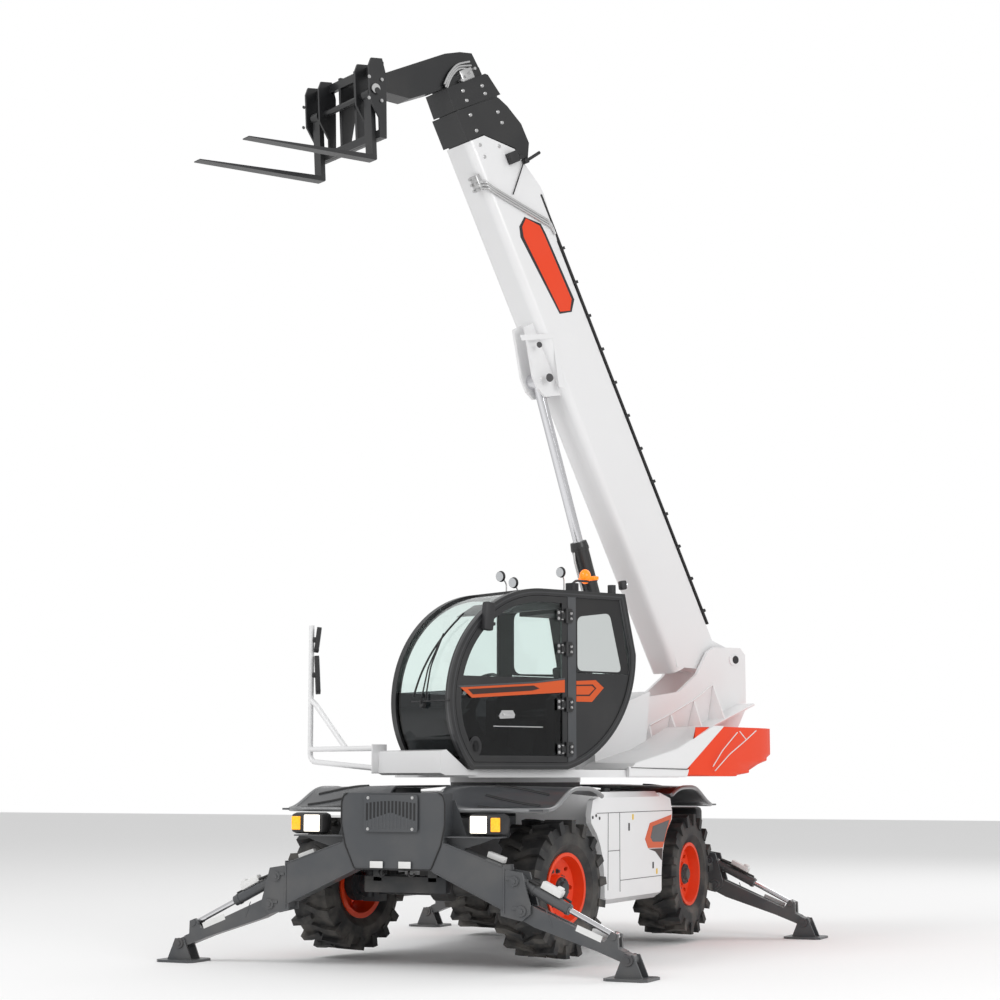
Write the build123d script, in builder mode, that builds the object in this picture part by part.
from build123d import *
from math import atan2, cos, degrees, hypot, radians, sin
import os

# A rotating telehandler on four stabilizers. Millimetres, +Z up.
# The chassis faces -Y, its left side is +X, and the slew axis stands on the origin of the ground.

SEAT = 0.3          # gap between two seated pieces
PIN_FIT = 0.05      # radial gap of a pin in its bore
CLEAR = 6.0         # gap between pieces that move past each other

# Wheels and steering
WHEELBASE = 3020
TRACK_HALF = 1020
WHEEL_Z = 657
TYRE_R = 590
TYRE_WIDTH = 452
LUG_HEIGHT = 38
LUG_COUNT = 18
RIM_R = 286
FLANGE_R = 306
RIM_WIDTH = 370
KINGPIN_X = 735
FRONT_STEER = -9.5

# Chassis
FRAME_HALF = 320
FRAME_BOTTOM = 800
FRAME_TOP = 1250
FRAME_HALF_LENGTH = 1960
RING_R = 640
RING_TOP = 1555
RACE_HEIGHT = 50

# Stabilizers
LEG_Y = 2420
LEG_PIVOT = (1187, 521)
BARREL_PIVOT = (1124, 759)
FOOT_PIN = (2107, 160)
ROD_EYE_ALONG = 800
ROD_EYE_UP = 118
LEG_WIDTH = 120
CLEVIS_GAP = 136
CLEVIS_WALL = 22
PAD_HALF = 188
PAD_DEPTH = 360
PAD_THICK = 22

# Turret
TURRET_SLEW = -28
DECK_BOTTOM = 1600
DECK_THICK = 70
DECK_TOP = DECK_BOTTOM + DECK_THICK
BOOM_X = -50
PLATE_WALL = 40
PLATE_GAP = 30
STEP_RIGHT = 180

# Boom
BOOM_ANGLE = 62.45
PIVOT = (-2650, 2790)
BOOM_WIDTH = 400
BOOM_TOP = -90
BOOM_BOTTOM = -700
BOOM_WALL = 14
SECTION_GAP = 10
BASE_LENGTH = 5750
LIFT_EYE = (3460, -830)
LIFT_BASE = (-1481, 1950)
LIFT_BARREL_R = 85
LIFT_ROD_R = 50
LIFT_BARREL_LENGTH = 1640
LIFT_TAIL = 330
LIFT_ROD_START = 1150
LIFT_PIN_R = 42

# Cab
CAB_RIGHT = 300
CAB_LEFT = 1200
CAB_BAND = 60

# Forks and carriage, in the turret's own side view
FORK_SHAFT = (2000, 7840)
TILT_PIN = (1640, 8090)
CARRIAGE_TILT = -3
FORK_LENGTH = 1350
FORK_SPACING = 870
FORK_WIDTH = 110
FORK_THICK = 50


def save(piece, label):
    """Label a finished piece and write it."""
    piece.label = label
    export_step(piece, f"parts/{label}.step")


def side_plane(left):
    """A plane seen from the left: local x is forward, local y is up, its normal points right."""
    return Plane(origin=(left, 0, 0), x_dir=(0, -1, 0), z_dir=(-1, 0, 0))


def front_plane(forward):
    """A plane seen from the front: local x is left, local y is up, its normal points forward."""
    return Plane(origin=(0, -forward, 0), x_dir=(1, 0, 0), z_dir=(0, -1, 0))


def outline(*points, mode=Mode.ADD):
    """A closed polygon in the open sketch."""
    Polygon(*points, align=None, mode=mode)


def boom_point(along, up):
    """A point of the boom's own side view, as forward and height."""
    a = radians(BOOM_ANGLE)
    return (
        PIVOT[0] + along * cos(a) - up * sin(a),
        PIVOT[1] + along * sin(a) + up * cos(a),
    )


def boom_side(left):
    """The boom's side view: local x along the boom, local y towards its top, normal right."""
    a = radians(BOOM_ANGLE)
    return Plane(
        origin=(left, -PIVOT[0], PIVOT[1]), x_dir=(0, -cos(a), sin(a)), z_dir=(-1, 0, 0)
    )


def boom_cut(along):
    """A plane across the boom: local x is left, local y towards its top, normal along it."""
    a = radians(BOOM_ANGLE)
    forward, height = boom_point(along, 0)
    return Plane(origin=(BOOM_X, -forward, height), x_dir=(1, 0, 0), z_dir=(0, -cos(a), sin(a)))


def slewed(piece):
    """Turn a piece of the turret from straight ahead to its place."""
    return piece.rotate(Axis.Z, TURRET_SLEW)


# Chassis frame: box frame, slew pedestal and the two stabilizer beams
def beam_profile():
    """The front view of a stabilizer beam with its two fixed arms."""
    outline(
        (-475, 1470), (-475, 1060), (-1040, 865), (-1040, 520), (-360, 830),
        (360, 830), (1040, 520), (1040, 865), (475, 1060), (475, 1470),
    )


def clevis_profile(side):
    """The front view of a clevis plate that holds the leg and its cylinder."""
    outline(
        (side * 1000, 480), (side * 1187, 440), (side * 1265, 500), (side * 1265, 560),
        (side * 1190, 830), (side * 1060, 850), (side * 1000, 830),
    )


os.makedirs("parts", exist_ok=True)

BEAM_OUTER = LEG_Y + CLEVIS_GAP / 2 + CLEVIS_WALL
BEAM_INNER = LEG_Y - CLEVIS_GAP / 2 - CLEVIS_WALL

with BuildPart() as chassis_frame:
    with BuildSketch(Plane.XY.offset(FRAME_BOTTOM)):
        Rectangle(2 * FRAME_HALF, 2 * FRAME_HALF_LENGTH)
    extrude(amount=FRAME_TOP - FRAME_BOTTOM)
    with BuildSketch(Plane.XY.offset(FRAME_TOP)):
        Circle(RING_R)
    extrude(amount=RING_TOP - FRAME_TOP - RACE_HEIGHT)
    for end in (-1, 1):
        with BuildSketch(front_plane(-end * BEAM_OUTER)):
            beam_profile()
        extrude(amount=end * (BEAM_OUTER - BEAM_INNER))
        with BuildSketch(front_plane(-end * BEAM_INNER)):
            with Locations((0, 1040)):
                Rectangle(520, 380)
        extrude(amount=end * (BEAM_INNER - FRAME_HALF_LENGTH + 40))
        for side in (-1, 1):
            with Locations((side * 1187, end * LEG_Y, 600)):
                Box(400, CLEVIS_GAP, 700, mode=Mode.SUBTRACT)
            for wall in (-1, 1):
                face = LEG_Y + wall * (CLEVIS_GAP / 2)
                with BuildSketch(front_plane(-end * face)):
                    clevis_profile(side)
                extrude(amount=-wall * end * CLEVIS_WALL)
            for x, z in (LEG_PIVOT, BARREL_PIVOT):
                with Locations(Location((side * x, end * LEG_Y, z), (90, 0, 0))):
                    Cylinder(30, BEAM_OUTER - BEAM_INNER + 30)
save(chassis_frame.part, "chassis_frame")

with BuildPart() as slew_ring:
    with BuildSketch(Plane.XY.offset(RING_TOP - RACE_HEIGHT + SEAT)):
        Circle(RING_R - 25)
        Circle(RING_R - 150, mode=Mode.SUBTRACT)
    extrude(amount=RACE_HEIGHT - SEAT)
save(slew_ring.part, "slew_ring")

# Axles with yokes that hold the steering knuckles
YOKE_INNER = 112
YOKE_OUTER = 150
AXLE_R = 88
DIFF_R = 136
for name, end in (("front_axle", -1), ("rear_axle", 1)):
    with BuildPart() as axle:
        with Locations(Location((0, end * WHEELBASE / 2, WHEEL_Z), (0, 90, 0))):
            Cylinder(AXLE_R, 2 * (KINGPIN_X - 90))
        with BuildSketch(Plane.YZ):
            with Locations((end * WHEELBASE / 2, WHEEL_Z)):
                Circle(DIFF_R)
        extrude(amount=120, both=True)
        chamfer(axle.edges().filter_by(GeomType.CIRCLE).sort_by(SortBy.RADIUS)[-2:], 40)
        with BuildSketch(Plane.XY.offset(WHEEL_Z)):
            with Locations((0, end * WHEELBASE / 2)):
                Rectangle(420, 150)
        extrude(amount=FRAME_BOTTOM - WHEEL_Z - SEAT)
        for side in (-1, 1):
            with Locations((side * (KINGPIN_X - 95), end * WHEELBASE / 2, WHEEL_Z)):
                Box(50, 150, 2 * YOKE_OUTER)
            for up in (-1, 1):
                height = up * (YOKE_INNER + YOKE_OUTER) / 2
                with Locations((side * (KINGPIN_X - 20), end * WHEELBASE / 2, WHEEL_Z + height)):
                    Box(140, 110, YOKE_OUTER - YOKE_INNER)
    save(axle.part, name)

# Steering knuckle, made for the left side with the kingpin on the local Z axis
HUB_OFFSET = TRACK_HALF - KINGPIN_X
DISC_X = HUB_OFFSET + 55
SPINDLE_R = 60
with BuildPart() as knuckle:
    Cylinder(58, 2 * (YOKE_INNER - SEAT))
    with BuildSketch(Plane.YZ):
        Circle(100)
    extrude(amount=DISC_X - 130)
    with BuildSketch(Plane.YZ.offset(100)):
        Circle(150)
    extrude(amount=DISC_X - 130 - 100 - 30)
    with BuildSketch(Plane.YZ):
        Circle(SPINDLE_R)
    extrude(amount=DISC_X + 70)
    with Locations((90, 0, 0)):
        Box(60, 220, 2 * 80)

# Rim, with the wheel's centre at the origin and its outer face towards +X
DISC_LOCAL = DISC_X - HUB_OFFSET
with BuildPart() as rim:
    with BuildSketch(Plane.XZ):
        with BuildLine():
            Polyline(
                (-RIM_WIDTH / 2, RIM_R - 26), (-RIM_WIDTH / 2, FLANGE_R), (-RIM_WIDTH / 2 + 16, FLANGE_R),
                (-RIM_WIDTH / 2 + 16, RIM_R - SEAT), (RIM_WIDTH / 2 - 16, RIM_R - SEAT),
                (RIM_WIDTH / 2 - 16, FLANGE_R), (RIM_WIDTH / 2, FLANGE_R), (RIM_WIDTH / 2, RIM_R - 10),
                (DISC_LOCAL + 30, RIM_R - 24), (DISC_LOCAL, 180), (DISC_LOCAL, 120),
                (DISC_LOCAL + 75, 108), (DISC_LOCAL + 75, SPINDLE_R + PIN_FIT),
                (DISC_LOCAL - 20, SPINDLE_R + PIN_FIT), (DISC_LOCAL - 20, 190),
                (DISC_LOCAL + 2, RIM_R - 26), close=True,
            )
        make_face()
    revolve(axis=Axis.X)
    with BuildSketch(Plane.YZ.offset(DISC_LOCAL - 25)):
        with PolarLocations(228, 8):
            Circle(20)
    extrude(amount=60, mode=Mode.SUBTRACT)

# Tyre with chevron lugs that wrap on to the sidewall
CARCASS_R = TYRE_R - LUG_HEIGHT
HALF = TYRE_WIDTH / 2
with BuildPart() as tyre:
    with BuildSketch(Plane.XZ):
        with BuildLine():
            Polyline(
                (-RIM_WIDTH / 2 + 16 + SEAT, RIM_R), (-RIM_WIDTH / 2 + 16 + SEAT, FLANGE_R + 10),
                (-HALF + 12, 380), (-HALF + 12, 470), (-HALF + 34, CARCASS_R - 12),
                (0, CARCASS_R), (HALF - 34, CARCASS_R - 12), (HALF - 12, 470), (HALF - 12, 380),
                (RIM_WIDTH / 2 - 16 - SEAT, FLANGE_R + 10), (RIM_WIDTH / 2 - 16 - SEAT, RIM_R), close=True,
            )
        make_face()
    revolve(axis=Axis.X)
    with BuildSketch(Plane.XY.offset(CARCASS_R - 80)) as lug_foot:
        outline((HALF, 20), (HALF, 84), (120, 74), (-14, 10), (-14, -40), (120, 12))
    lug = extrude(amount=TYRE_R - CARCASS_R + 72, mode=Mode.PRIVATE)
    pitch = 360 / LUG_COUNT
    other = lug.rotate(Axis.Z, 180).mirror(Plane.XZ).rotate(Axis.X, pitch / 2)
    for step in range(LUG_COUNT):
        add(lug.rotate(Axis.X, step * pitch))
        add(other.rotate(Axis.X, step * pitch))

corners = (("front_left", 1, -1), ("front_right", -1, -1), ("rear_left", 1, 1), ("rear_right", -1, 1))
for corner, side, end in corners:
    steer = FRONT_STEER if end < 0 else 0
    kingpin = Location((side * KINGPIN_X, end * WHEELBASE / 2, WHEEL_Z), (0, 0, steer))
    facing = Location((0, 0, 0), (0, 0, 0 if side > 0 else 180))
    centre = kingpin * facing * Location((HUB_OFFSET, 0, 0))
    save(knuckle.part.moved(kingpin * facing), f"knuckle_{corner}")
    save(rim.part.moved(centre), f"rim_{corner}")
    save(tyre.part.moved(centre), f"tyre_{corner}")

# Engine block, hood and tank box on the chassis sides
with BuildPart() as engine_block:
    with Locations(((FRAME_HALF + SEAT + 1090) / 2, 0, 930)):
        Box(1090 - FRAME_HALF - SEAT, 1100, 560)
save(engine_block.part, "engine_block")

HOOD_HALF = 700
for name, side in (("engine_hood", 1), ("tank_box", -1)):
    with BuildPart() as hood:
        with BuildSketch(front_plane(-HOOD_HALF)):
            outline(
                (side * (FRAME_HALF + SEAT), 1470), (side * 1150, 1470), (side * 1200, 1420),
                (side * 1200, 520), (side * 1130, 470), (side * (FRAME_HALF + SEAT), 560),
            )
        extrude(amount=2 * HOOD_HALF)
        if side > 0:
            with Locations(((FRAME_HALF + 1090) / 2 - 20, 0, 930)):
                Box(1090 - FRAME_HALF + 60, 1120, 600, mode=Mode.SUBTRACT)
        with Locations((0, 0, (FRAME_TOP + DECK_BOTTOM) / 2)):
            Cylinder(RING_R + 10, DECK_BOTTOM - FRAME_TOP + 10, mode=Mode.SUBTRACT)
    save(hood.part, name)

# Fenders over the wheels, seated on the frame and the beams
FENDER_END = BEAM_INNER - SEAT
FENDER_LIP = 1330
with BuildPart() as fenders:
    for side in (-1, 1):
        for end in (-1, 1):
            with BuildSketch(side_plane(side * 1250)):
                outline(
                    (-end * FENDER_END, FENDER_LIP), (-end * FENDER_END, 1400), (-end * 2180, 1520),
                    (-end * 1100, 1545), (-end * 850, 1500), (-end * 850, 1470), (-end * 1100, 1515),
                    (-end * 2165, 1490), (-end * (FENDER_END - 30), 1385),
                    (-end * (FENDER_END - 30), FENDER_LIP),
                )
            extrude(amount=side * 1000)
            with BuildSketch(Plane.XY.offset(FRAME_TOP + SEAT)):
                with Locations((side * (FRAME_HALF - 20), end * 1500)):
                    Rectangle(140, 500)
            extrude(amount=1512 - FRAME_TOP)
save(fenders.part, "fenders")

# Headlamps and rear lamps, hung under the lips of the fenders
LAMP_DEPTH = 190
LAMP_HEIGHT = 190
with BuildPart() as headlamps:
    for side in (-1, 1):
        for end in (-1, 1):
            with Locations((side * 850, end * (FENDER_END - 25 + LAMP_DEPTH / 2),
                            FENDER_LIP - SEAT - LAMP_HEIGHT / 2)):
                Box(320, LAMP_DEPTH, LAMP_HEIGHT)
save(headlamps.part, "headlamps")

# Stabilizer legs, their cylinders and pads, made in the front view of the left side
LEG_ANGLE = degrees(atan2(FOOT_PIN[1] - LEG_PIVOT[1], FOOT_PIN[0] - LEG_PIVOT[0]))
LEG_LENGTH = hypot(FOOT_PIN[0] - LEG_PIVOT[0], FOOT_PIN[1] - LEG_PIVOT[1])


def leg_point(along, up):
    """A point beside the leg, as left and height."""
    a = radians(LEG_ANGLE)
    return (
        LEG_PIVOT[0] + along * cos(a) - up * sin(a),
        LEG_PIVOT[1] + along * sin(a) + up * cos(a),
    )


LEG_EYE = leg_point(ROD_EYE_ALONG, ROD_EYE_UP)
LEG_PLANE = Plane(
    origin=(LEG_PIVOT[0], 0, LEG_PIVOT[1]),
    x_dir=(cos(radians(LEG_ANGLE)), 0, sin(radians(LEG_ANGLE))),
    z_dir=(0, -1, 0),
)
barrel_angle = degrees(atan2(LEG_EYE[1] - BARREL_PIVOT[1], LEG_EYE[0] - BARREL_PIVOT[0]))
BARREL_PLANE = Plane(
    origin=(BARREL_PIVOT[0], 0, BARREL_PIVOT[1]),
    x_dir=(cos(radians(barrel_angle)), 0, sin(radians(barrel_angle))),
    z_dir=(0, -1, 0),
)
LEG_STROKE_LENGTH = hypot(LEG_EYE[0] - BARREL_PIVOT[0], LEG_EYE[1] - BARREL_PIVOT[1])
LEG_BARREL_R = 45
LEG_ROD_R = 24
LEG_BARREL_LENGTH = 508
LEG_BORE_START = 72
LEG_STROKE = 370
LEG_ROD_START = LEG_BORE_START + LEG_STROKE
PIN_R = 30
LUG_GAP = 60

with BuildPart() as leg:
    with BuildSketch(LEG_PLANE):
        outline(
            (60, 68), (LEG_LENGTH - 60, 45), (LEG_LENGTH - 60, -40), (LEG_LENGTH - 300, -44), (140, -82),
            (-20, -70), (-20, 60),
        )
    extrude(amount=LEG_WIDTH / 2, both=True)
    with BuildSketch(LEG_PLANE):
        Circle(66)
        with Locations((LEG_LENGTH, 0)):
            Circle(44)
        with Locations((LEG_LENGTH - 60, 0)):
            Rectangle(120, 80)
    extrude(amount=LEG_WIDTH / 2, both=True)
    with BuildSketch(LEG_PLANE):
        Circle(PIN_R + PIN_FIT)
        with Locations((LEG_LENGTH, 0)):
            Circle(22 + PIN_FIT)
    extrude(amount=LEG_WIDTH, both=True, mode=Mode.SUBTRACT)
    with BuildSketch(LEG_PLANE) as ears:
        outline((ROD_EYE_ALONG - 60, 30), (ROD_EYE_ALONG + 80, 30), (ROD_EYE_ALONG + 30, ROD_EYE_UP + 30),
                (ROD_EYE_ALONG - 30, ROD_EYE_UP + 30))
    extrude(amount=LEG_WIDTH / 2, both=True)
    with BuildSketch(LEG_PLANE):
        outline((-60, 54), (LEG_LENGTH, 54), (LEG_LENGTH, 300), (-60, 300))
    extrude(amount=LUG_GAP / 2, both=True, mode=Mode.SUBTRACT)

with BuildPart() as leg_barrel:
    with BuildSketch(BARREL_PLANE):
        Circle(50)
        with Locations((40, 0)):
            Rectangle(80, 70)
    extrude(amount=LEG_WIDTH / 2, both=True)
    with BuildSketch(Plane(BARREL_PLANE.origin + BARREL_PLANE.x_dir * 60, z_dir=BARREL_PLANE.x_dir)):
        Circle(LEG_BARREL_R)
    extrude(amount=LEG_BARREL_LENGTH - 60)
    with BuildSketch(BARREL_PLANE):
        Circle(PIN_R + PIN_FIT)
    extrude(amount=LEG_WIDTH, both=True, mode=Mode.SUBTRACT)
    with BuildSketch(Plane(BARREL_PLANE.origin + BARREL_PLANE.x_dir * LEG_BORE_START, z_dir=BARREL_PLANE.x_dir)):
        Circle(LEG_ROD_R + PIN_FIT)
    extrude(amount=LEG_BARREL_LENGTH, mode=Mode.SUBTRACT)

with BuildPart() as leg_rod:
    with BuildSketch(Plane(BARREL_PLANE.origin + BARREL_PLANE.x_dir * LEG_ROD_START, z_dir=BARREL_PLANE.x_dir)):
        Circle(LEG_ROD_R)
    extrude(amount=LEG_STROKE_LENGTH - LEG_ROD_START)
    with BuildSketch(BARREL_PLANE):
        with Locations((LEG_STROKE_LENGTH, 0)):
            Circle(32)
    extrude(amount=LUG_GAP / 2 - 1, both=True)

PAD_EAR = 14
with BuildPart() as pad:
    with BuildSketch(Plane.XY):
        with Locations((FOOT_PIN[0], 0)):
            Rectangle(2 * PAD_HALF, PAD_DEPTH)
    extrude(amount=PAD_THICK)
    chamfer(pad.edges().filter_by(Axis.Z), 40)
    for wall in (-1, 1):
        with BuildSketch(front_plane(-wall * (LEG_WIDTH / 2 + 2))):
            outline(
                (FOOT_PIN[0] - 120, PAD_THICK), (FOOT_PIN[0] + 120, PAD_THICK),
                (FOOT_PIN[0] + 45, FOOT_PIN[1] + 42), (FOOT_PIN[0] - 45, FOOT_PIN[1] + 42),
            )
        extrude(amount=-wall * PAD_EAR)
    with Locations(Location((FOOT_PIN[0], 0, FOOT_PIN[1]), (90, 0, 0))):
        Cylinder(22, LEG_WIDTH + 2 * PAD_EAR + 12)

for corner, side, end in corners:
    place = Location((0, end * LEG_Y, 0))
    for piece, label in ((leg, "leg"), (leg_barrel, "leg_barrel"), (leg_rod, "leg_rod"), (pad, "pad")):
        solid = piece.part if side > 0 else piece.part.mirror(Plane.YZ)
        save(solid.moved(place), f"{label}_{corner}")

# Counterweight: side outline with a chamfered belly, tapered in plan, slotted for the turret's girder
WEIGHT_TOP = 2085
WEIGHT_FRONT = -1120
WEIGHT_REAR = -2860
GIRDER_REAR = -1890
PLATE_INNER = BOOM_WIDTH / 2 + PLATE_GAP
PLATE_OUTER = PLATE_INNER + PLATE_WALL
SHELF_HALF = PLATE_OUTER + 245
CLEVIS_HALF = LIFT_BARREL_R + CLEAR
TAIL_REAR = -2000
with BuildPart() as counterweight:
    with BuildSketch(side_plane(1200)):
        outline(
            (WEIGHT_FRONT, 1600), (WEIGHT_FRONT - 20, 1655), (-1640, 2065), (-1720, WEIGHT_TOP),
            (-2740, WEIGHT_TOP), (WEIGHT_REAR, 2000), (WEIGHT_REAR, 1830), (-2520, 1760), (-2150, 1640),
        )
    extrude(amount=2400)
    with BuildSketch(Plane.XY.offset(1500)):
        outline(
            (1180, -WEIGHT_FRONT - 50), (1150, 1500), (880, 2400), (760, 2640), (400, 2840), (0, 2900),
            (-400, 2840), (-760, 2640), (-880, 2400), (-1150, 1500), (-1180, -WEIGHT_FRONT - 50),
        )
    extrude(amount=800, mode=Mode.INTERSECT)
    with BuildSketch(side_plane(BOOM_X)):
        outline((0, 1500), (0, 2200), (GIRDER_REAR - SEAT, 2200), (GIRDER_REAR - SEAT, 1500))
    extrude(amount=SHELF_HALF + 20, both=True, mode=Mode.SUBTRACT)
    with BuildSketch(side_plane(BOOM_X)):
        outline((GIRDER_REAR, 1700), (GIRDER_REAR, 2200), (TAIL_REAR, 2200), (TAIL_REAR, 1700))
    extrude(amount=CLEVIS_HALF, both=True, mode=Mode.SUBTRACT)
save(slewed(counterweight.part), "counterweight")

# Turret frame: deck, girder with ears, shelves, covers and the lift cylinder's clevis
PIVOT_PIN_R = 50
with BuildPart() as turret_frame:
    with BuildSketch(Plane.XY.offset(DECK_BOTTOM)):
        outline(
            (1120, -1380), (-250, -1200), (-1000, -700), (-1120, -500), (-1120, 1000),
            (-1000, -WEIGHT_FRONT - SEAT), (1000, -WEIGHT_FRONT - SEAT), (1120, 1000),
        )
    extrude(amount=DECK_THICK)
    with BuildSketch(Plane.XY.offset(DECK_BOTTOM)):
        Circle(RING_R - 20)
    extrude(amount=-(DECK_BOTTOM - RING_TOP - SEAT))
    with BuildSketch(side_plane(BOOM_X)):
        outline((0, DECK_BOTTOM), (0, DECK_TOP), (GIRDER_REAR, DECK_TOP), (GIRDER_REAR, DECK_BOTTOM))
    extrude(amount=PLATE_OUTER, both=True)
    for wall in (-1, 1):
        with BuildSketch(side_plane(BOOM_X + wall * PLATE_INNER)):
            outline(
                (300, DECK_TOP - 10), (300, 1800), (-700, 2200), (-1260, 2440), (-1500, 2390),
                (-1900, 2450), (-2150, 2630), (-2310, 2870), (-2400, 2915), (-2760, 2920),
                (-2830, 2850), (-2830, 2300), (-2700, WEIGHT_TOP + SEAT), (GIRDER_REAR, WEIGHT_TOP + SEAT),
                (GIRDER_REAR, DECK_TOP - 10),
            )
        extrude(amount=-wall * PLATE_WALL)
        with BuildSketch(side_plane(BOOM_X + wall * (PLATE_OUTER - 5))):
            outline((-1120, 1690), (-1100, 1705), (-2710, 2345), (-2720, 2325))
            outline((GIRDER_REAR, 1500), (GIRDER_REAR, WEIGHT_TOP + SEAT), (-2400, WEIGHT_TOP + SEAT),
                    (-2400, 1500), mode=Mode.SUBTRACT)
        extrude(amount=-wall * 250)
        with BuildSketch(side_plane(BOOM_X + wall * CLEVIS_HALF)):
            outline(
                (LIFT_BASE[0] + 220, DECK_TOP - 10), (LIFT_BASE[0] + 80, LIFT_BASE[1] + 70),
                (LIFT_BASE[0] - 80, LIFT_BASE[1] + 70), (LIFT_BASE[0] - 220, DECK_TOP - 10),
            )
        extrude(amount=-wall * 30)
    with BuildSketch(side_plane(BOOM_X + PLATE_OUTER - 5)):
        outline((-560, DECK_TOP - 10), (-560, 2170), (-1260, 2430), (-1180, 1740), (-1060, DECK_TOP - 10))
    extrude(amount=-300)
    with BuildSketch(side_plane(1150)):
        outline((1300, DECK_BOTTOM + 20), (1300, DECK_TOP), (1415, DECK_TOP), (1640, 1840), (1700, 1830),
                (1700, 1640), (1650, DECK_BOTTOM + 20))
    extrude(amount=1150 - STEP_RIGHT)
    with Locations(Location((BOOM_X, -PIVOT[0], PIVOT[1]), (0, 90, 0))):
        Cylinder(PIVOT_PIN_R, 2 * (PLATE_OUTER + 15))
    with BuildSketch(side_plane(BOOM_X)):
        outline((-960, DECK_BOTTOM - 5), (-960, DECK_TOP + 5), (-1830, DECK_TOP + 5), (-1830, DECK_BOTTOM - 5))
    extrude(amount=CLEVIS_HALF, both=True, mode=Mode.SUBTRACT)
    for wall in (-1, 1):
        with BuildSketch(side_plane(BOOM_X + wall * CLEVIS_HALF)):
            with Locations(LIFT_BASE):
                Circle(60)
        extrude(amount=-wall * 55)
save(slewed(turret_frame.part), "turret_frame")

with BuildPart() as machinery_cover:
    with BuildSketch(side_plane(BOOM_X - PLATE_INNER - PLATE_WALL - SEAT)):
        outline((380, DECK_TOP + SEAT), (380, 2000), (200, 2180), (-900, 2180), (-1060, 2000), (-1060, DECK_TOP + SEAT))
    extrude(amount=790)
save(slewed(machinery_cover.part), "machinery_cover")


# Cab: a band of the side outline, open at the windows
CAB_FLOOR = DECK_TOP + SEAT
CAB_ROOF = 3285
NOSE_R = 1020


def cab_outline(inset):
    """The cab's side view, drawn inwards by an inset."""
    with BuildLine() as border:
        roof = Line((-360, CAB_ROOF), (620, CAB_ROOF))
        nose = ThreePointArc(
            roof @ 1, (620 + NOSE_R * sin(radians(45)), CAB_ROOF - NOSE_R + NOSE_R * cos(radians(45))),
            (620 + NOSE_R, CAB_ROOF - NOSE_R),
        )
        chin = TangentArc(nose @ 1, (1400, CAB_FLOOR), tangent=(0, -1))
        floor = Line(chin @ 1, (333, CAB_FLOOR))
        tail = TangentArc((-488, 2726), (333, CAB_FLOOR), tangent=(0, -1))
        Line((-488, 2726), roof @ 0)
    make_face(border.edges())
    if inset:
        offset(amount=-inset, mode=Mode.REPLACE)


PILLAR = (225, 330)
SIDE_WALL = 60
DOOR_GAP = 5
HINGE_R = 14
HINGE_HIGH = 70
HINGE_HEIGHTS = (1850, 2250, 2750, 3050)
HINGE = (PILLAR[1] + DOOR_GAP + HINGE_R, CAB_LEFT + HINGE_R + 2)
with BuildPart() as cab_frame:
    with BuildSketch(side_plane(CAB_LEFT)):
        cab_outline(0)
    extrude(amount=CAB_LEFT - CAB_RIGHT)
    with BuildSketch(side_plane(CAB_LEFT)):
        cab_outline(CAB_BAND)
    extrude(amount=CAB_LEFT - CAB_RIGHT, mode=Mode.SUBTRACT)
    with BuildSketch(side_plane(CAB_LEFT - 70)):
        outline((760, 3400), (760, 3100), (1350, 1900), (1350, 1760), (1800, 1760), (1800, 3400))
    extrude(amount=CAB_LEFT - CAB_RIGHT - 140, mode=Mode.SUBTRACT)
    with BuildSketch(side_plane(CAB_LEFT - 70)):
        outline((-200, 3180), (-200, 2560), (-700, 2560), (-700, 3180))
    extrude(amount=CAB_LEFT - CAB_RIGHT - 140, mode=Mode.SUBTRACT)
    with BuildSketch(side_plane(CAB_LEFT - 10)):
        with BuildLine() as quarter:
            Polyline((PILLAR[0], CAB_FLOOR + 30), (PILLAR[1], CAB_FLOOR + 30), (PILLAR[1], CAB_ROOF - 30),
                     (PILLAR[0], CAB_ROOF - 30), close=True)
        make_face(quarter.edges())
    extrude(amount=SIDE_WALL)
    for left in (CAB_LEFT - 10, CAB_RIGHT + 40):
        with BuildSketch(side_plane(left)):
            cab_outline(30)
            outline((-700, 2540), (-700, 3400), (1800, 3400), (1800, 1500), (PILLAR[0] + 50, 1500),
                    (PILLAR[0] + 50, 2540), mode=Mode.SUBTRACT)
        extrude(amount=30)
    for height in HINGE_HEIGHTS:
        for up in (-1, 1):
            middle = height + up * (HINGE_HIGH / 2 + SEAT + 15)
            with Locations((HINGE[1], -HINGE[0], middle)):
                Cylinder(HINGE_R, 30)
            with Locations((CAB_LEFT + 3, -PILLAR[1] + 22, middle)):
                Box(26, 44, 30)
            with Locations((HINGE[1] - HINGE_R / 2, -HINGE[0] + 32, middle)):
                Box(HINGE_R, 64, 30)
save(slewed(cab_frame.part), "cab_frame")

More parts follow.
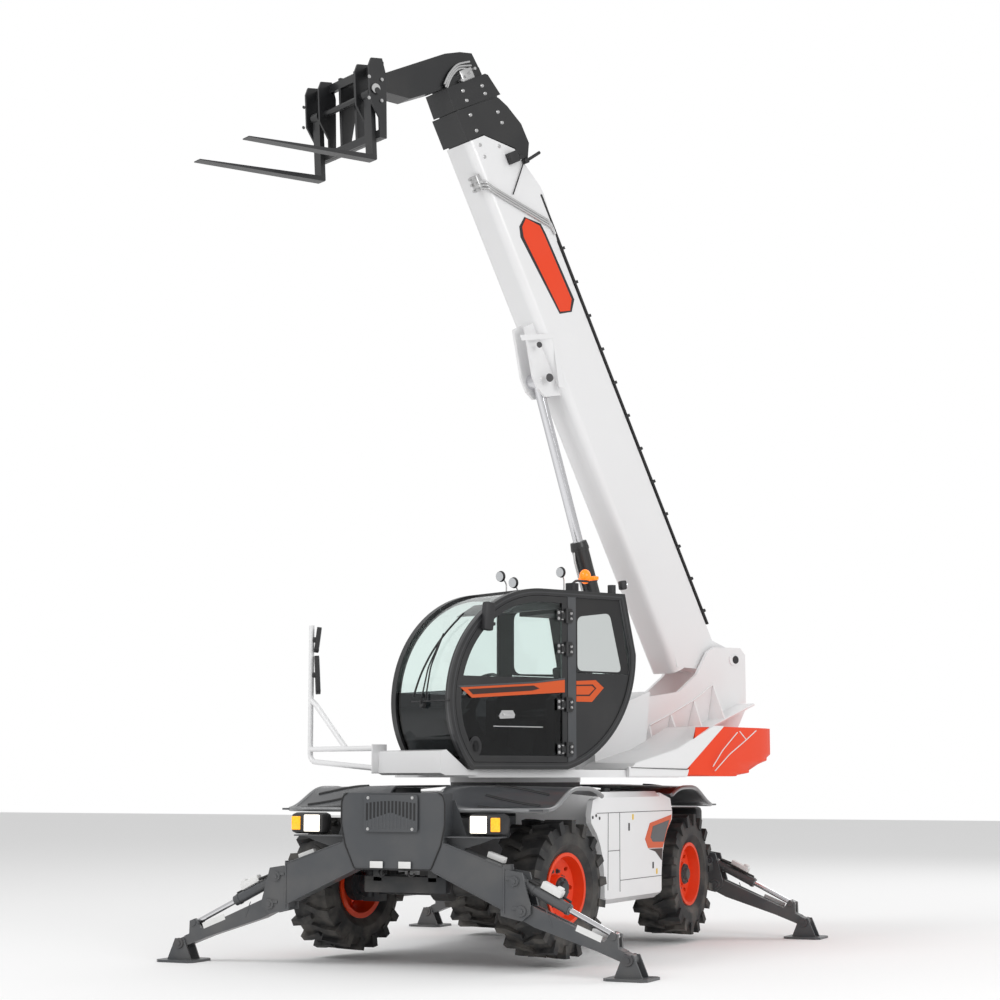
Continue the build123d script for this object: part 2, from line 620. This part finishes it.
# Cab glass: windscreen, rear window, left quarter and right side panes
GLASS = 8
with BuildPart() as cab_glass:
    with BuildSketch(side_plane(CAB_LEFT - 70 - SEAT)):
        cab_outline(20)
    extrude(amount=CAB_LEFT - CAB_RIGHT - 140 - 2 * SEAT)
    with BuildSketch(side_plane(CAB_LEFT)):
        cab_outline(20 + GLASS)
    extrude(amount=CAB_LEFT - CAB_RIGHT, mode=Mode.SUBTRACT)
    with BuildSketch(side_plane(CAB_LEFT)) as kept:
        outline((760 + SEAT, 3400), (760 + SEAT, 3100), (1350, 1900), (1350, 1760 + SEAT), (1800, 1760 + SEAT),
                (1800, 3400))
        outline((-200 - SEAT, 3180 - SEAT), (-200 - SEAT, 2560 + SEAT), (-700, 2560 + SEAT), (-700, 3180 - SEAT))
    extrude(amount=CAB_LEFT - CAB_RIGHT, mode=Mode.INTERSECT)
    with BuildSketch(side_plane(CAB_LEFT - 22)):
        cab_outline(CAB_BAND + SEAT)
        outline((-700, 2540 + SEAT), (-700, 1500), (1800, 1500), (1800, 3400), (PILLAR[0] - SEAT, 3400),
                (PILLAR[0] - SEAT, 2540 + SEAT), mode=Mode.SUBTRACT)
    extrude(amount=GLASS)
    with BuildSketch(side_plane(CAB_RIGHT + 30)):
        cab_outline(CAB_BAND + SEAT)
        outline((-700, 2540 + SEAT), (-700, 1500), (PILLAR[0] + 50 + SEAT, 1500), (PILLAR[0] + 50 + SEAT, 2540 + SEAT),
                mode=Mode.SUBTRACT)
    extrude(amount=GLASS)
save(slewed(cab_glass.part), "cab_glass")

# Cab door: frame with a bar between its two panes, hinged on the pillar
BAR_LOW, BAR_HIGH = 2385, 2480
DOOR_WALL = 36


def door_outline(inset):
    """The door's side view, drawn inwards by an inset."""
    cab_outline(CAB_BAND + DOOR_GAP + inset)
    left = PILLAR[1] + DOOR_GAP + inset
    outline((left, 1500), (left, 3400), (-700, 3400), (-700, 1500), mode=Mode.SUBTRACT)


with BuildPart() as cab_door:
    with BuildSketch(side_plane(CAB_LEFT)):
        door_outline(0)
    extrude(amount=DOOR_WALL)
    with BuildSketch(side_plane(CAB_LEFT)):
        door_outline(55)
        outline((-700, BAR_LOW), (1800, BAR_LOW), (1800, BAR_HIGH), (-700, BAR_HIGH), mode=Mode.SUBTRACT)
    extrude(amount=DOOR_WALL, mode=Mode.SUBTRACT)
    for height in HINGE_HEIGHTS:
        with Locations((HINGE[1], -HINGE[0], height)):
            Cylinder(HINGE_R, HINGE_HIGH)
        with Locations(((CAB_LEFT + HINGE[1]) / 2, -HINGE[0] - 30, height)):
            Box(HINGE[1] - CAB_LEFT, 60, 60)
save(slewed(cab_door.part), "cab_door")

with BuildPart() as door_glass:
    with BuildSketch(side_plane(CAB_LEFT - 14)):
        door_outline(55 + SEAT)
        outline((-700, BAR_LOW - SEAT), (1800, BAR_LOW - SEAT), (1800, BAR_HIGH + SEAT), (-700, BAR_HIGH + SEAT),
                mode=Mode.SUBTRACT)
    extrude(amount=GLASS)
save(slewed(door_glass.part), "door_glass")

# Seat on its base, and the console with steering column and wheel
SEAT_X = (CAB_LEFT + CAB_RIGHT) / 2
FLOOR_TOP = CAB_FLOOR + CAB_BAND
with BuildPart() as seat:
    with BuildSketch(side_plane(SEAT_X - 240)):
        outline((420, 2118 + SEAT), (430, 2230), (60, 2190), (-120, 2800), (-200, 2790), (-62, 2100 + SEAT))
    extrude(amount=-480)
save(slewed(seat.part), "seat")

with BuildPart() as console:
    with BuildSketch(side_plane(SEAT_X - 200)):
        outline((560, FLOOR_TOP + SEAT), (480, 2120), (-60, 2100), (-30, 1985), (150, 1850), (345, 1765),
                (400, FLOOR_TOP + SEAT))
    extrude(amount=-400)
    with BuildSketch(side_plane(SEAT_X - 70)):
        outline((1220, FLOOR_TOP + SEAT), (1200, 2200), (1020, 2420), (990, 2390), (1080, 2200), (1060, FLOOR_TOP + SEAT))
    extrude(amount=-140)
    with Locations(Location((SEAT_X, -1000, 2420), (35, 0, 0))):
        Cylinder(30, 120)
        Torus(180, 14)
        Box(350, 40, 20)
save(slewed(console.part), "console")

# Beacon and work lamps on the cab's roof
with BuildPart() as roof_lamps:
    with Locations((CAB_LEFT - 480, 120, CAB_ROOF + SEAT + 60)):
        Cylinder(62, 120)
    with Locations((CAB_LEFT - 60, 250, CAB_ROOF + SEAT + 40)):
        Cylinder(38, 80)
save(slewed(roof_lamps.part), "roof_lamps")

# Guard of white tubes ahead of the cab with two mirrors on its post
POST = (-980, 1740)
TUBE_R = 21
with BuildPart() as mirror_guard:
    for low, high in ((1765, 1680), (1860, 1860)):
        bar = Edge.make_line((POST[0], -POST[1], low), (STEP_RIGHT - 4, -POST[1] + 20, high))
        with BuildSketch(Plane(bar @ 0, z_dir=bar % 0)):
            Circle(TUBE_R)
        extrude(amount=bar.length)
    with Locations((STEP_RIGHT - SEAT - 4, -POST[1] + 50, 1765)):
        Box(8, 160, 260)
    with Locations((POST[0], -POST[1], (1750 + 3030) / 2)):
        Cylinder(TUBE_R, 3030 - 1750)
    for height in (2800, 2550):
        with Locations((POST[0] + 30, -POST[1] + 70, height)):
            Box(60, 130, 220)
save(slewed(mirror_guard.part), "mirror_guard")


# Boom base: box section cut back at its head, with root and lift cylinder lugs
def beam(start, end, width, depth, bend):
    """A solid length of box section with large bends along its bottom."""
    with BuildSketch(boom_cut(start)) as section:
        with Locations((0, (BOOM_TOP + BOOM_BOTTOM) / 2)):
            Rectangle(width, depth)
        fillet(section.vertices().group_by(Axis.Y)[0], bend)
        fillet(section.vertices().group_by(Axis.Y)[-1], bend / 4)
    return extrude(section.sketch, amount=end - start, mode=Mode.PRIVATE)


BASE_DEPTH = BOOM_TOP - BOOM_BOTTOM
BEND = 80
EYE_GAP = 76
EYE_WALL = 34
BOOM_PIN_R = PIVOT_PIN_R + PIN_FIT
with BuildPart() as boom_base:
    with BuildSketch(boom_side(BOOM_X)):
        outline(
            (-95, 60), (-60, 95), (80, 85), (330, BOOM_TOP - 60), (330, BOOM_BOTTOM + 60),
            (250, BOOM_BOTTOM + 40), (-95, -70),
        )
    extrude(amount=BOOM_WIDTH / 2, both=True)
    add(beam(200, 5900, BOOM_WIDTH, BASE_DEPTH, BEND))
    with BuildSketch(boom_side(BOOM_X)):
        outline((4650, BOOM_TOP - 5), (5120, -35), (5200, -42), (5700, -190), (5700, BOOM_TOP - 110), (4650, BOOM_TOP - 110))
    extrude(amount=BOOM_WIDTH / 2, both=True)
    with BuildSketch(boom_side(BOOM_X)):
        outline((5200, 100), (5200, -42), (5640, -180), (5870, -480), (5870, -900), (6000, -900), (6000, 100))
    extrude(amount=BOOM_WIDTH, both=True, mode=Mode.SUBTRACT)
    add(beam(330, 6000, BOOM_WIDTH - 2 * BOOM_WALL, BASE_DEPTH - 2 * BOOM_WALL, BEND - BOOM_WALL), mode=Mode.SUBTRACT)
    for wall in (-1, 1):
        with BuildSketch(boom_side(BOOM_X + wall * EYE_GAP)):
            outline((3240, BOOM_BOTTOM + 4), (3300, LIFT_EYE[1] - 60), (3400, LIFT_EYE[1] - 105),
                    (3540, LIFT_EYE[1] - 105), (4010, -800), (4010, BOOM_BOTTOM + 4))
        extrude(amount=-wall * EYE_WALL)
    with BuildSketch(boom_side(BOOM_X)):
        with Locations(LIFT_EYE):
            Circle(LIFT_PIN_R)
    extrude(amount=EYE_GAP + EYE_WALL + 12, both=True)
    with BuildSketch(boom_side(BOOM_X)):
        Circle(BOOM_PIN_R)
    extrude(amount=BOOM_WIDTH, both=True, mode=Mode.SUBTRACT)
    add(beam(5640, 5869, BOOM_WIDTH - 20, BASE_DEPTH - 20, BEND - 10) - beam(
        5600, 5900, BOOM_WIDTH - 2 * BOOM_WALL - 2 * SECTION_GAP + 2 * SEAT,
        BASE_DEPTH - 2 * BOOM_WALL - 2 * SECTION_GAP + 2 * SEAT, BEND - BOOM_WALL - SECTION_GAP))
    with BuildSketch(boom_side(BOOM_X)):
        outline((5200, 100), (5200, -42), (5640, -180), (5870, -480), (6000, -480), (6000, 100))
    extrude(amount=BOOM_WIDTH, both=True, mode=Mode.SUBTRACT)
save(slewed(boom_base.part), "boom_base")

# Two sliding sections, each with a plated collar at its head
STEP = BOOM_WALL + SECTION_GAP
LINING = 160
for index, name, start, end in ((1, "boom_section_2", 380, 6180), (2, "boom_section_3", 430, 6420)):
    width = BOOM_WIDTH - 2 * index * STEP
    depth = BASE_DEPTH - 2 * index * STEP
    bend = BEND - index * STEP
    fit = 2 * (SECTION_GAP - SEAT)
    with BuildPart() as section:
        add(beam(start, end, width, depth, bend))
        add(beam(start, start + LINING, width + fit, depth + fit, bend + SECTION_GAP))
        if index == 1:
            with BuildSketch(boom_side(BOOM_X)):
                outline((5884, -700), (6180, -700), (6160, -130), (6050, -60), (5840, 25), (5640, 30),
                        (5470, -80), (5470, -114), (5652, -168), (5884, -480))
            extrude(amount=width / 2 + 18, both=True)
        else:
            with BuildSketch(boom_side(BOOM_X)):
                outline((6190, -690), (6420, -680), (6420, -160), (6400, -130), (6180, -70))
            extrude(amount=width / 2 + 22, both=True)
        add(beam(start - 5, end + 5, width - 2 * BOOM_WALL, depth - 2 * BOOM_WALL, bend - BOOM_WALL), mode=Mode.SUBTRACT)
        inner = beam(end - LINING, end, width - 2, depth - 2, bend - 1)
        add(inner - beam(end - LINING - 5, end + 5, width - 2 * STEP + 2 * SEAT, depth - 2 * STEP + 2 * SEAT, bend - STEP))
    save(slewed(section.part), name)

# Boom head: the innermost tube and its gooseneck
HEAD_HALF = 105
TILT_LOCAL = (
    (TILT_PIN[0] - PIVOT[0]) * cos(radians(BOOM_ANGLE)) + (TILT_PIN[1] - PIVOT[1]) * sin(radians(BOOM_ANGLE)),
    -(TILT_PIN[0] - PIVOT[0]) * sin(radians(BOOM_ANGLE)) + (TILT_PIN[1] - PIVOT[1]) * cos(radians(BOOM_ANGLE)),
)
with BuildPart() as boom_head:
    width = BOOM_WIDTH - 6 * STEP
    depth = BASE_DEPTH - 6 * STEP
    bend = BEND - 3 * STEP
    fit = 2 * (SECTION_GAP - SEAT)
    add(beam(480, 6500, width, depth, bend))
    add(beam(480, 480 + LINING, width + fit, depth + fit, bend + SECTION_GAP))
    add(beam(470, 6300, width - 2 * BOOM_WALL, depth - 2 * BOOM_WALL, 2), mode=Mode.SUBTRACT)
    with BuildSketch(boom_side(BOOM_X)):
        outline((6428, -140), (6650, -165), (6700, -300), (6735, -486), (TILT_LOCAL[0] + 75, TILT_LOCAL[1] + 10),
                (TILT_LOCAL[0] + 40, TILT_LOCAL[1] - 70), (TILT_LOCAL[0] - 60, TILT_LOCAL[1] - 50),
                (6450, -1090), (6428, -720), (6428, -660))
    extrude(amount=HEAD_HALF, both=True)
    with BuildSketch(boom_side(BOOM_X)):
        with Locations(TILT_LOCAL):
            Circle(34)
    extrude(amount=200, both=True, mode=Mode.SUBTRACT)
save(slewed(boom_head.part), "boom_head")

# Lift cylinder: barrel on the turret's clevis side, rod with its eye between the boom's lugs
EYE_POINT = boom_point(*LIFT_EYE)
lift_angle = atan2(EYE_POINT[1] - LIFT_BASE[1], EYE_POINT[0] - LIFT_BASE[0])
LIFT_LENGTH = hypot(EYE_POINT[1] - LIFT_BASE[1], EYE_POINT[0] - LIFT_BASE[0])


def lift_cut(along):
    """A plane across the lift cylinder, at a length from its base pin."""
    return Plane(
        origin=(BOOM_X, -LIFT_BASE[0] - along * cos(lift_angle), LIFT_BASE[1] + along * sin(lift_angle)),
        x_dir=(1, 0, 0), z_dir=(0, -cos(lift_angle), sin(lift_angle)),
    )


with BuildPart() as lift_barrel:
    with BuildSketch(side_plane(BOOM_X)):
        with Locations(LIFT_BASE):
            Circle(60)
    extrude(amount=CLEVIS_HALF - SEAT, both=True)
    with BuildSketch(lift_cut(-LIFT_TAIL)):
        Circle(LIFT_BARREL_R)
    extrude(amount=LIFT_TAIL + LIFT_BARREL_LENGTH)
    with BuildSketch(lift_cut(-LIFT_TAIL + 30)):
        Circle(LIFT_ROD_R + PIN_FIT)
    extrude(amount=LIFT_TAIL + LIFT_BARREL_LENGTH, mode=Mode.SUBTRACT)
save(slewed(lift_barrel.part), "lift_barrel")

with BuildPart() as lift_rod:
    with BuildSketch(lift_cut(LIFT_ROD_START)):
        Circle(LIFT_ROD_R)
    extrude(amount=LIFT_LENGTH - LIFT_ROD_START - 60)
    with BuildSketch(side_plane(BOOM_X)):
        with Locations(EYE_POINT):
            Circle(80)
    extrude(amount=EYE_GAP - 1, both=True)
    with BuildSketch(side_plane(BOOM_X)):
        with Locations(EYE_POINT):
            Circle(LIFT_PIN_R + PIN_FIT)
    extrude(amount=EYE_GAP, both=True, mode=Mode.SUBTRACT)
save(slewed(lift_rod.part), "lift_rod")


# Carriage and forks, drawn level and then tilted about the carriage pin
def tilted(piece):
    """Tip a piece of the carriage about its pin, then turn it with the turret."""
    axis = Axis((BOOM_X, -TILT_PIN[0], TILT_PIN[1]), (1, 0, 0))
    return slewed(piece.rotate(axis, -CARRIAGE_TILT))


CARRIAGE_HALF = 550
SHAFT_R = 30
FORK_REAR = FORK_SHAFT[0] - FORK_THICK / 2
FORK_BOTTOM = 7212
with BuildPart() as carriage:
    for wall in (-1, 1):
        for at, thick in ((CARRIAGE_HALF - 22, 22), (300, 22)):
            with BuildSketch(side_plane(BOOM_X + wall * at)):
                outline((1900, 7410), (FORK_REAR - SEAT, 7410), (FORK_REAR - SEAT, 7600), (2070, 7760), (2070, 8080),
                        (2040, 8150), (1920, 8160), (1880, 8000))
            extrude(amount=-wall * thick)
        with BuildSketch(side_plane(BOOM_X + wall * (HEAD_HALF + CLEAR))):
            outline((TILT_PIN[0] - 70, TILT_PIN[1] - 40), (TILT_PIN[0] - 60, TILT_PIN[1] + 65), (1950, 8150),
                    (1950, 7430), (1870, 7430), (1760, TILT_PIN[1] - 180))
        extrude(amount=-wall * 34)
    for low, high in ((7410, 7500), (8050, 8130)):
        with BuildSketch(side_plane(BOOM_X)):
            outline((1905, low), (1950, low), (1950, high), (1905, high))
        extrude(amount=CARRIAGE_HALF, both=True)
    with BuildSketch(side_plane(BOOM_X)):
        outline((1900, 7412), (FORK_REAR - SEAT, 7412), (FORK_REAR - SEAT, 7480), (1900, 7480))
    extrude(amount=CARRIAGE_HALF, both=True)
    with BuildSketch(side_plane(BOOM_X)):
        with Locations(FORK_SHAFT):
            Circle(SHAFT_R)
        with Locations(TILT_PIN):
            Circle(34 - PIN_FIT)
    extrude(amount=HEAD_HALF + CLEAR + 34 + 10, both=True)
    with BuildSketch(side_plane(BOOM_X)):
        with Locations(FORK_SHAFT):
            Circle(SHAFT_R)
    extrude(amount=CARRIAGE_HALF + 25, both=True)
save(tilted(carriage.part), "carriage")

with BuildPart() as forks:
    for side in (-1, 1):
        with BuildSketch(side_plane(BOOM_X + side * FORK_SPACING / 2 + FORK_WIDTH / 2)):
            outline((FORK_REAR, FORK_SHAFT[1]), (FORK_REAR, FORK_BOTTOM + 10), (FORK_REAR + 10, FORK_BOTTOM),
                    (FORK_REAR + FORK_LENGTH, FORK_BOTTOM + 36), (FORK_REAR + FORK_LENGTH, FORK_BOTTOM + 46),
                    (FORK_REAR + FORK_THICK, FORK_BOTTOM + 50), (FORK_REAR + FORK_THICK, FORK_SHAFT[1]))
            with Locations(FORK_SHAFT):
                Circle(52)
                Circle(SHAFT_R + PIN_FIT, mode=Mode.SUBTRACT)
        extrude(amount=FORK_WIDTH)
save(tilted(forks.part), "forks")
